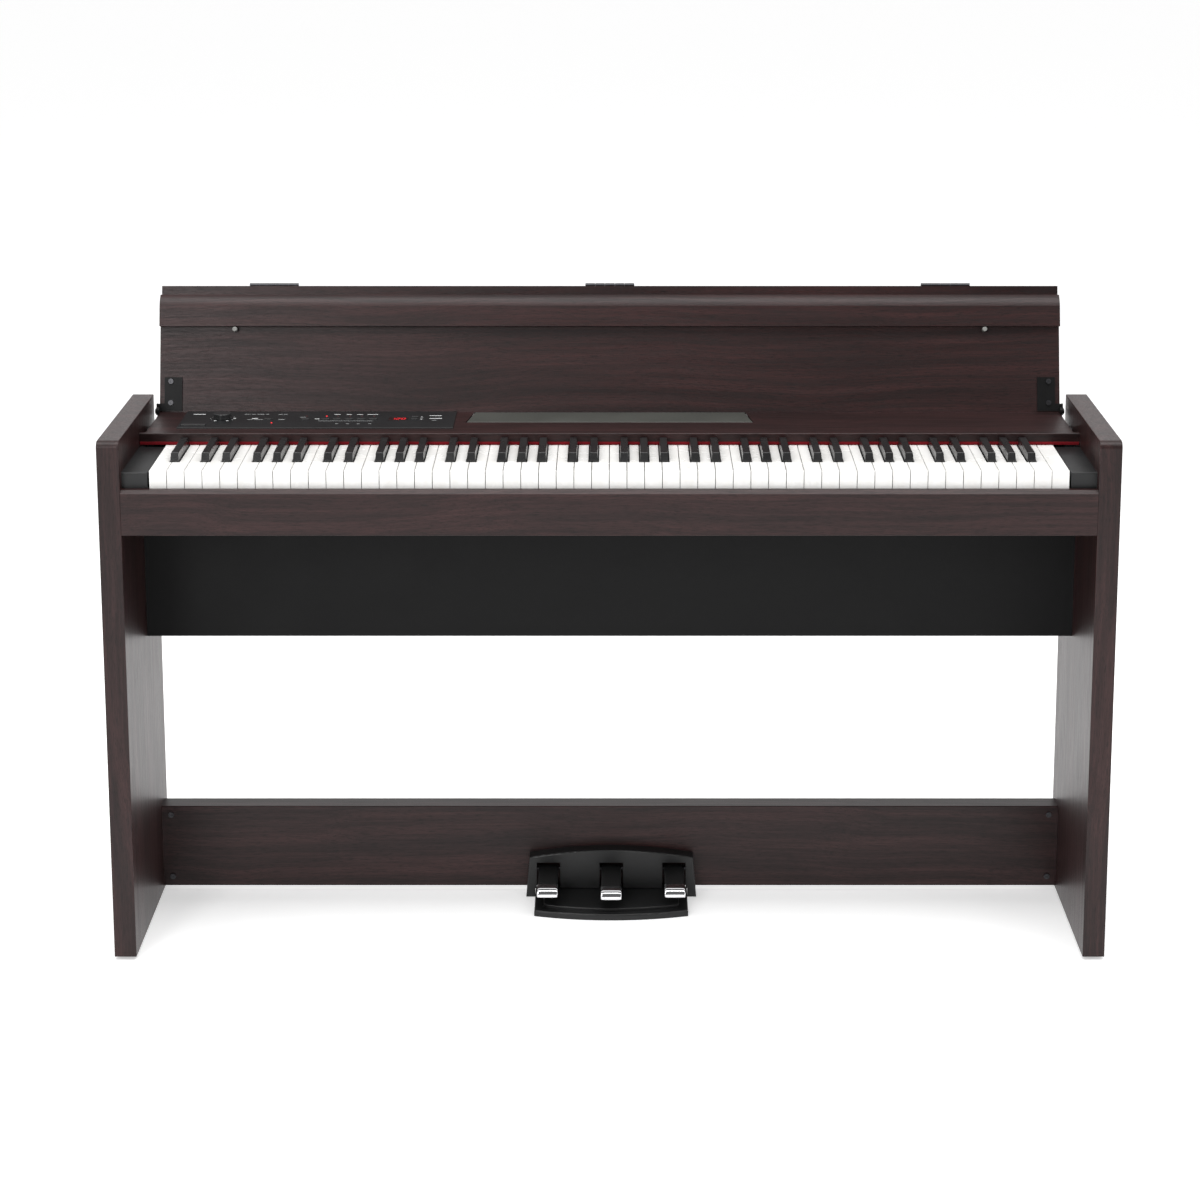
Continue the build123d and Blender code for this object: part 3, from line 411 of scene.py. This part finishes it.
for part in frame["record"]["subparts"]:
    node, slot = part["node"], part["material_slot"]
    if slot == "rosewood":
        finish = wood_upright if node.startswith("side_panel") else wood_across
    elif slot == "steel" and node.startswith(DARK_FITTINGS):
        finish = dark_steel
    else:
        finish = finishes[slot]
    nodes[node].data.materials.clear()
    nodes[node].data.materials.append(finish)

# ---------------------------------------------------------------- mesh building blocks


def finish_piece(name, mesh, material, body, smooth_angle=None):
    """Turns a bmesh into a named piece that rides on a body."""
    bmesh.ops.recalc_face_normals(mesh, faces=mesh.faces)
    data = bpy.data.meshes.new(name)
    mesh.to_mesh(data)
    mesh.free()
    data.materials.append(material)
    if smooth_angle is not None:
        data.shade_smooth()
        data.set_sharp_from_angle(angle=math.radians(smooth_angle))
    piece = bpy.data.objects.new(name, data)
    scene.collection.objects.link(piece)
    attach(piece, body)
    return piece


def tube(mesh, rings):
    """A closed skin through rings of vertices, capped at both ends."""
    for near, far in zip(rings, rings[1:]):
        for i in range(len(near)):
            j = (i + 1) % len(near)
            mesh.faces.new((near[i], near[j], far[j], far[i]))
    mesh.faces.new(rings[0][::-1])
    mesh.faces.new(rings[-1])


def prism(mesh, outline, low, high):
    """A closed upright prism from an outline of (x, y) points."""
    tube(mesh, [[mesh.verts.new((x, y, z)) for x, y in outline] for z in (low, high)])


def stadium(x, y, length, width, steps=5):
    """Outline of a bar with round ends, centred on a point."""
    radius = width / 2
    reach = length / 2 - radius
    points = []
    for side in (1, -1):
        for i in range(steps + 1):
            angle = side * math.pi / 2 - math.pi * i / steps
            points.append((x + side * reach + radius * math.cos(angle), y + radius * math.sin(angle)))
    return points


def disc(x, y, radius, steps=20):
    """Outline of a circle."""
    angles = [2 * math.pi * i / steps for i in range(steps)]
    return [(x + radius * math.cos(a), y + radius * math.sin(a)) for a in angles]


def rectangle(x, y, half_x, half_y):
    """Outline of a rectangle, centred on a point."""
    return [(x + side * half_x, y + end * half_y) for side, end in ((-1, -1), (1, -1), (1, 1), (-1, 1))]


def turned(mesh, centre, profile, steps, facing=(0, 0, 1)):
    """A surface of revolution about an axis, from a closed profile of (radius, height along the axis)."""
    turn = Vector((0, 0, 1)).rotation_difference(Vector(facing)).to_matrix()
    rings = []
    for i in range(steps):
        angle = 2 * math.pi * i / steps
        across = Vector((math.cos(angle), math.sin(angle), 0.0))
        points = [turn @ (across * radius + Vector((0, 0, height))) for radius, height in profile]
        rings.append([mesh.verts.new(Vector(centre) + point) for point in points])
    for i in range(steps):
        near, far = rings[i], rings[(i + 1) % steps]
        for j in range(len(profile)):
            k = (j + 1) % len(profile)
            mesh.faces.new((near[j], far[j], far[k], near[k]))


def weld(mesh):
    """Joins vertices that lie on one point, as a turned shape's do on its axis."""
    bmesh.ops.remove_doubles(mesh, verts=mesh.verts, dist=1e-6)


def in_metres(points):
    """Points given in millimetres."""
    return [tuple(value * MM for value in point) for point in points]


def rounded_tube(mesh, stations, corner=4.5, steps=40):
    """A skin over rounded-rectangle sections: (y, x centre, half width, z low, z high)."""
    rings = []
    for y, x, half_width, low, high in stations:
        ring = []
        for i in range(steps):
            angle = 2 * math.pi * i / steps
            c, s = math.cos(angle), math.sin(angle)
            across = math.copysign(abs(c) ** (2 / corner), c) * half_width
            up = math.copysign(abs(s) ** (2 / corner), s) * (high - low) / 2
            ring.append(mesh.verts.new((x + across, y, (low + high) / 2 + up)))
        rings.append(ring)
    tube(mesh, rings)


# ---------------------------------------------------------------- control strip printing

# Places on the strip are millimetres from its left edge and from its front edge.
strip_low, strip_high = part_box("control_panel")
film_top = strip_high.z
INK = 0.06 * MM
WORD_GAP = 1.3

# Captions: middle from the left, place from the front, length of each word's bar, height of the bars
CAPTIONS = {
    "white": [
        (20, 87, [17.5], 3.2),
        (101.5, 60, [9], 3.6),
        (354.5, 78, [17.5], 3.0),
        (355.5, 60, [18], 3.4),
        (189, 57, [7], 3.0),
        (215.0, 86, [9.0], 2.8),
        (231.5, 86, [8.0], 2.8),
        (247.0, 86, [9.0], 2.8),
        (265.0, 86, [15.5], 2.8),
    ],
    "grey": [
        (101, 87, [9, 6, 11, 5], 2.6),
        (138, 87, [6, 6], 2.6),
        (107, 53, [8, 13, 8], 2.2),
        (139.5, 53, [9.5], 2.6),
        (168, 68, [9], 2.4),
        (230, 44, [77], 1.4),
        (354, 48, [7], 2.0),
        (219.5, 26, [4.5], 2.2),
        (234.5, 26, [4.5], 2.2),
        (249.5, 26, [4.5], 2.2),
        (265.5, 26, [4.5], 2.2),
    ],
}


def on_strip(from_left, from_front):
    """A place on the strip as x and y in metres."""
    return strip_low.x + from_left * MM, strip_low.y + from_front * MM


def add_captions(name, material, captions):
    """Captions stood for by short bars, one for each word."""
    mesh = bmesh.new()
    for centre, from_front, words, height in captions:
        start = centre - (sum(words) + WORD_GAP * (len(words) - 1)) / 2
        for word in words:
            x, y = on_strip(start + word / 2, from_front)
            prism(mesh, stadium(x, y, word * MM, height * MM), film_top - INK, film_top + INK)
            start += word + WORD_GAP
    finish_piece(name, mesh, material, "cabinet")


add_captions("print_white_marks", print_white, CAPTIONS["white"])
add_captions("print_grey_marks", print_grey, CAPTIONS["grey"])

# The knob's scale starts at its lower left and runs clockwise. Angles are in degrees.
SCALE_MARKS = 11
SCALE_START = 240
SCALE_STEP = 30
SCALE_GAP = 4.5 * MM
FIRST_DOT_RADIUS = 0.45 * MM
DOT_GROWTH = 0.05 * MM
LARGE_MARKS = (0, 8, 10)
LARGE_MARK_RADIUS = 2.0 * MM


def add_knob_scale():
    """An arc of marks round the volume knob: dots that grow clockwise, and three large marks."""
    low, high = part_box("volume_knob")
    centre = (low + high) / 2
    reach = (high.x - low.x) / 2 + SCALE_GAP
    mesh = bmesh.new()
    for i in range(SCALE_MARKS):
        angle = math.radians(SCALE_START - SCALE_STEP * i)
        radius = LARGE_MARK_RADIUS if i in LARGE_MARKS else FIRST_DOT_RADIUS + DOT_GROWTH * i
        x, y = centre.x + reach * math.cos(angle), centre.y + reach * math.sin(angle)
        prism(mesh, disc(x, y, radius), film_top - INK, film_top + INK)
    finish_piece("knob_scale", mesh, print_white, "cabinet")


ARROW_GAP = 5 * MM
ARROW_REACH = 2.0 * MM


def add_step_marks():
    """Up and down arrows beside the two step buttons."""
    mesh = bmesh.new()
    for name, tip in (("up_button", ARROW_REACH), ("down_button", -ARROW_REACH)):
        low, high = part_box(name)
        x, y = high.x + ARROW_GAP, (low.y + high.y) / 2
        outline = [(x - ARROW_REACH, y - tip), (x + ARROW_REACH, y - tip), (x, y + tip)]
        prism(mesh, outline, film_top - INK, film_top + INK)
    finish_piece("step_marks", mesh, print_white, "cabinet")


add_knob_scale()
add_step_marks()

# ---------------------------------------------------------------- display digits and lamps

SEGMENTS = {
    "0": "abcdef",
    "1": "bc",
    "2": "abged",
}
DIGIT_PITCH = 0.27
DIGIT_HALF_WIDTH = 0.085
DIGIT_HALF_HEIGHT = 0.26
SEGMENT_THICKNESS = 0.032
SEGMENT_GAP = 0.65
SLANT = 0.12


def add_digits(number):
    """Lit seven-segment digits on the display window, sized as shares of its width and depth."""
    low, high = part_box("display_window")
    width, depth = high.x - low.x, high.y - low.y
    half_w, half_h = width * DIGIT_HALF_WIDTH, depth * DIGIT_HALF_HEIGHT
    thick = width * SEGMENT_THICKNESS
    ends = {
        "a": ((-half_w, half_h), (half_w, half_h)),
        "b": ((half_w, half_h), (half_w, 0)),
        "c": ((half_w, 0), (half_w, -half_h)),
        "d": ((-half_w, -half_h), (half_w, -half_h)),
        "e": ((-half_w, 0), (-half_w, -half_h)),
        "f": ((-half_w, half_h), (-half_w, 0)),
        "g": ((-half_w, 0), (half_w, 0)),
    }
    mesh = bmesh.new()
    for index, digit in enumerate(number):
        x = (low.x + high.x) / 2 + (index - (len(number) - 1) / 2) * width * DIGIT_PITCH
        y = (low.y + high.y) / 2
        for letter in SEGMENTS[digit]:
            start, stop = (Vector(point) for point in ends[letter])
            along = (stop - start).normalized()
            side = Vector((-along.y, along.x)) * thick / 2
            tip = along * thick / 2
            start, stop = start + along * thick * SEGMENT_GAP, stop - along * thick * SEGMENT_GAP
            outline = [start - tip, start - side, stop - side, stop + tip, stop + side, start + side]
            slanted = [(x + point.x + SLANT * point.y, y + point.y) for point in outline]
            prism(mesh, slanted, high.z - INK, high.z + INK)
    finish_piece("display_digits", mesh, led_red, "cabinet")


TONE_LAMPS = [(from_left, 74.0) for from_left in (201.0, 217.0, 234.0, 251.0, 268.0)]
FRONT_LAMP = (128.0, 31.0)
SIDE_LAMP = (173.0, 74.0)
LAMP_DOME = in_metres([(0.0, -0.4), (1.3, -0.4), (1.3, 0.1), (1.1, 0.45), (0.7, 0.7), (0.0, 0.8)])


def add_lamps(name, material, spots):
    """Small domed lamps on the strip."""
    mesh = bmesh.new()
    for spot in spots:
        turned(mesh, (*on_strip(*spot), film_top), LAMP_DOME, 18)
    weld(mesh)
    finish_piece(name, mesh, material, "cabinet", smooth_angle=40)


add_digits("120")
add_lamps("lamp_lit", led_red, [TONE_LAMPS[0], FRONT_LAMP])
add_lamps("lamps_dark", led_dark, [*TONE_LAMPS[1:], SIDE_LAMP])

# ---------------------------------------------------------------- pedals

PEDAL_SIDES = ("left", "middle", "right")
# The toe: its length, and heights from the lever's underside
TOE_LENGTH = 24 * MM
TOE_DROP = 2.4 * MM
TOE_BROW_LENGTH = 9 * MM
TOE_NOSE = 3.5 * MM
TOE_CROWN = 7.5 * MM
TOE_LIFT = 0.5 * MM
TOE_FRONT_ROUNDING = 3 * MM
TOE_BACK_ROUNDING = 0.6 * MM

# The shank: its underside climbs by the rise, and its top climbs to the lever's own
SHANK_LIFT = 0.9 * MM
SHANK_RISE = 4.0 * MM
SHANK_HEIGHT = 10.5 * MM
SHANK_TRIM = 0.7 * MM
SHANK_SLOPE = 1.15
SHANK_NARROWING = 0.8 * MM
SHANK_IN_TOE = 1 * MM
SHANK_BACK_ROUNDING = 3 * MM

# Rounding an end draws in the sides, and the top and bottom, by these shares
RUN_STEPS = 26
SIDE_PULL = 0.8
FACE_PULL = 0.45


def end_pull(distance, rounding):
    """How far a bar is drawn in at a distance from an end rounded over a length."""
    if distance >= rounding:
        return 0.0
    return rounding - math.sqrt(max(0.0, rounding**2 - (rounding - distance) ** 2))


def rounded_run(span, x, half_width, low, high, roundings):
    """Stations of a bar along Y, with heights as functions of y and its ends drawn in to round them."""
    start, stop = span
    start_rounding, stop_rounding = roundings
    stations = []
    for i in range(RUN_STEPS + 1):
        y = start + (stop - start) * i / RUN_STEPS
        pull = max(end_pull(y - start, start_rounding), end_pull(stop - y, stop_rounding))
        bottom, top = low(y) + pull * FACE_PULL, high(y) - pull * FACE_PULL
        stations.append((y, x, half_width - pull * SIDE_PULL, bottom, top))
    return stations


def add_pedal(side):
    """A pedal: black shank with a rounded chrome toe, in place of the plain CAD lever."""
    name = f"pedal_{side}"
    low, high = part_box(name)
    x = (low.x + high.x) / 2
    half = (high.x - low.x) / 2
    toe_back = low.y + TOE_LENGTH
    shank_top = low.z + SHANK_HEIGHT

    def along_shank(y):
        return max(0.0, (y - toe_back) / (high.y - toe_back))

    def shank_under(y):
        return low.z + SHANK_LIFT + SHANK_RISE * along_shank(y)

    def shank_over(y):
        climb = min(1.0, along_shank(y) * SHANK_SLOPE)
        return shank_top + (high.z - shank_top) * climb - SHANK_TRIM

    def toe_over(y):
        into = min(1.0, (y - low.y) / TOE_BROW_LENGTH)
        return low.z + TOE_NOSE + TOE_CROWN * math.sqrt(max(0.0, 1 - (1 - into) ** 2))

    def toe_under(y):
        along = (y - low.y) / TOE_LENGTH
        return low.z + TOE_LIFT - TOE_DROP * (1 - along**2)

    toe_rounding = (TOE_FRONT_ROUNDING, TOE_BACK_ROUNDING)
    mesh = bmesh.new()
    stations = rounded_run((low.y, toe_back), x, half, toe_under, toe_over, toe_rounding)
    rounded_tube(mesh, stations, corner=7.0)
    finish_piece(f"{name}_toe", mesh, finishes["pedal_chrome"], name, smooth_angle=35)

    shank_span = (toe_back - SHANK_IN_TOE, high.y)
    shank_half = half - SHANK_NARROWING
    mesh = bmesh.new()
    stations = rounded_run(shank_span, x, shank_half, shank_under, shank_over, (0.0, SHANK_BACK_ROUNDING))
    rounded_tube(mesh, stations)
    plastic = finishes["pedal_plastic"]
    shank = finish_piece(f"{name}_shank", mesh, plastic, name, smooth_angle=35)
    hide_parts(name)


for pedal_side in PEDAL_SIDES:
    add_pedal(pedal_side)

# ---------------------------------------------------------------- pedal springs

WIRE_RADIUS = 0.8 * MM
WIRE_SIDES = 8
SPRING_TURNS = 6
SPRING_STEPS = 22
CLOSED_TURNS = 0.8  # lying flat at each end


def add_pedal_spring(side, replace):
    """A coil spring under a pedal."""
    low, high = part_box("pedal_springs")
    pedal_low, pedal_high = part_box(f"pedal_{side}")
    centre = Vector(((pedal_low.x + pedal_high.x) / 2, (low.y + high.y) / 2, 0.0))
    coil_radius = (high.y - low.y) / 2 - WIRE_RADIUS
    foot, top = low.z + WIRE_RADIUS, high.z - WIRE_RADIUS
    mesh = bmesh.new()
    rings = []
    for i in range(SPRING_TURNS * SPRING_STEPS + 1):
        turn = i / SPRING_STEPS
        angle = 2 * math.pi * turn
        climb = min(1.0, max(0.0, (turn - CLOSED_TURNS) / (SPRING_TURNS - 2 * CLOSED_TURNS)))
        outward = Vector((math.cos(angle), math.sin(angle), 0.0))
        core = centre + outward * coil_radius + Vector((0.0, 0.0, foot + climb * (top - foot)))
        ring = []
        for k in range(WIRE_SIDES):
            around = 2 * math.pi * k / WIRE_SIDES
            offset = outward * math.cos(around) + Vector((0.0, 0.0, math.sin(around)))
            ring.append(mesh.verts.new(core + offset * WIRE_RADIUS))
        rings.append(ring)
    tube(mesh, rings)
    spring = finish_piece(f"pedal_spring_{side}", mesh, dark_steel, "cabinet", smooth_angle=60)
    if replace:
        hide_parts("pedal_springs")
    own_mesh(spring)


for index, pedal_side in enumerate(PEDAL_SIDES):
    add_pedal_spring(pedal_side, index == 0)

# ---------------------------------------------------------------- lid seal

SEAL_END_GAP = 2 * MM
SEAL_CLEARANCE = 0.2 * MM


def add_lid_seal():
    """A thin rubber lip on the lid's foot that closes the gap behind the cabinet."""
    foot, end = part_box("lid_rear_panel")
    gap_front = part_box("cabinet_back_board")[1].y + SEAL_CLEARANCE
    profile = [
        (gap_front, foot.z + 2.6 * MM),
        (foot.y, foot.z + 2.2 * MM),
        (foot.y + 1.2 * MM, foot.z + 3.4 * MM),
        (foot.y + 0.2 * MM, foot.z + 4.4 * MM),
        (gap_front, foot.z + 4.1 * MM),
    ]
    mesh = bmesh.new()
    ends = (foot.x + SEAL_END_GAP, end.x - SEAL_END_GAP)
    tube(mesh, [[mesh.verts.new((x, y, z)) for y, z in profile] for x in ends])
    finish_piece("lid_foot_seal", mesh, seal_rubber, "lid_rear")


add_lid_seal()

# ---------------------------------------------------------------- screws on the back and underneath

BOARD_INSET = 9 * MM
BED_FRONT_INSET = 100 * MM
BED_BACK_INSET = 20 * MM
SCREW_HEAD = in_metres([(0.0, -0.3), (3.6, -0.3), (3.6, 0.4), (2.7, 1.44), (1.44, 1.8), (0.0, 1.8)])


def add_screws(name, spots, facing):
    """Plain domed screw heads that face along a direction."""
    mesh = bmesh.new()
    for spot in spots:
        turned(mesh, spot, SCREW_HEAD, 24, facing)
    weld(mesh)
    finish_piece(name, mesh, finishes["steel"], "cabinet", smooth_angle=35)


def screw_grid(low, high, columns, rows):
    """Places spread evenly along X from low to high, in rows of (y, z)."""
    middles = [low + (high - low) * (i + 0.5) / columns for i in range(columns)]
    return [(x, *row) for x in middles for row in rows]


board_low, board_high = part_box("cabinet_back_board")
board_rows = [(board_high.y, z) for z in (board_low.z + BOARD_INSET, board_high.z - BOARD_INSET)]
add_screws("back_screws", screw_grid(board_low.x, board_high.x, 6, board_rows), (0, 1, 0))

bed_low, bed_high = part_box("keybed")
bed_rows = [(y, bed_low.z) for y in (bed_low.y + BED_FRONT_INSET, bed_high.y - BED_BACK_INSET)]
add_screws("keybed_screws", screw_grid(bed_low.x, bed_high.x, 5, bed_rows), (0, 0, -1))

# ---------------------------------------------------------------- speaker grilles

GRILLE_RADIUS = 35.4 * MM
GRILLE_DEPTH = 1.6 * MM
WIRE_HALF_WIDTH = 0.5 * MM
WIRE_THICKNESS = 0.75 * MM
WIRE_PITCH = 3.2 * MM
RIM_STEPS = 56
# Beyond the grille's radius, and height from the keybed's underside
RIM_PROFILE = in_metres([(-1.2, -0.9), (2.6, -0.9), (2.6, 0.0), (0.3, 0.0), (0.3, 3.6), (-1.2, 3.6)])


def add_grilles():
    """Crossed wires, one layer over the other, with a rim, at the two sound outlets under the keybed."""
    low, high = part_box("speaker_cones")
    y = (low.y + high.y) / 2
    cone_radius = (high.y - low.y) / 2
    wires_each_way = int(GRILLE_RADIUS / WIRE_PITCH)
    wires, rims = bmesh.new(), bmesh.new()
    for x in (low.x + cone_radius, high.x - cone_radius):
        for layer in (0, 1):
            z = bed_low.z + GRILLE_DEPTH + layer * WIRE_THICKNESS
            for i in range(-wires_each_way, wires_each_way + 1):
                offset = i * WIRE_PITCH
                reach = math.sqrt(GRILLE_RADIUS**2 - offset**2)
                if layer == 0:
                    outline = rectangle(x, y + offset, reach, WIRE_HALF_WIDTH)
                else:
                    outline = rectangle(x + offset, y, WIRE_HALF_WIDTH, reach)
                prism(wires, outline, z, z + WIRE_THICKNESS)
        rim = [(GRILLE_RADIUS + beyond, height) for beyond, height in RIM_PROFILE]
        turned(rims, (x, y, bed_low.z), rim, RIM_STEPS)
    finish_piece("speaker_grilles", wires, finishes["black_steel"], "cabinet")
    finish_piece("grille_rims", rims, finishes["moulding"], "cabinet", smooth_angle=35)


add_grilles()

# ---------------------------------------------------------------- headphone socket nuts

# Beyond the socket's bore, and height from its mount
NUT_PROFILE = in_metres([(0.1, 0.2), (0.1, -1.3), (0.6, -1.6), (2.1, -1.6), (2.6, -1.2), (2.6, 0.2)])
NUT_STEPS = 32


def add_jack_rings():
    """Plated nuts round the two headphone sockets."""
    mesh = bmesh.new()
    for mount in frame["record"]["mounts"]:
        if mount["name"].startswith("headphone_socket"):
            bore = mount["dims"]["r_mm"] * MM
            profile = [(bore + beyond, height) for beyond, height in NUT_PROFILE]
            turned(mesh, mount["pos_m"], profile, NUT_STEPS)
    finish_piece("jack_rings", mesh, ring_steel, "cabinet", smooth_angle=35)


add_jack_rings()

# ---------------------------------------------------------------- floor

FLOOR_RADIUS = 60.0
FLOOR_GLOW = 0.40
FLOOR_STEPS = 64


def add_floor():
    """A wide pale floor, which glows a little so that it shows as white as the room."""
    pale_floor = moulded("pale_floor", (0.88, 0.88, 0.88), 0.7, 0.004, 0.0, mottle=0.01, specular=0.1)
    shader = pale_floor.node_tree.nodes["Principled BSDF"]
    set_levels(shader, Emission_Color=(1.0, 1.0, 1.0, 1.0), Emission_Strength=FLOOR_GLOW)
    mesh = bmesh.new()
    corners = disc(0.0, 0.0, FLOOR_RADIUS, FLOOR_STEPS)
    mesh.faces.new([mesh.verts.new((x, y, 0.0)) for x, y in corners])
    data = bpy.data.meshes.new("floor")
    mesh.to_mesh(data)
    mesh.free()
    data.materials.append(pale_floor)
    floor = bpy.data.objects.new("floor", data)
    scene.collection.objects.link(floor)


add_floor()
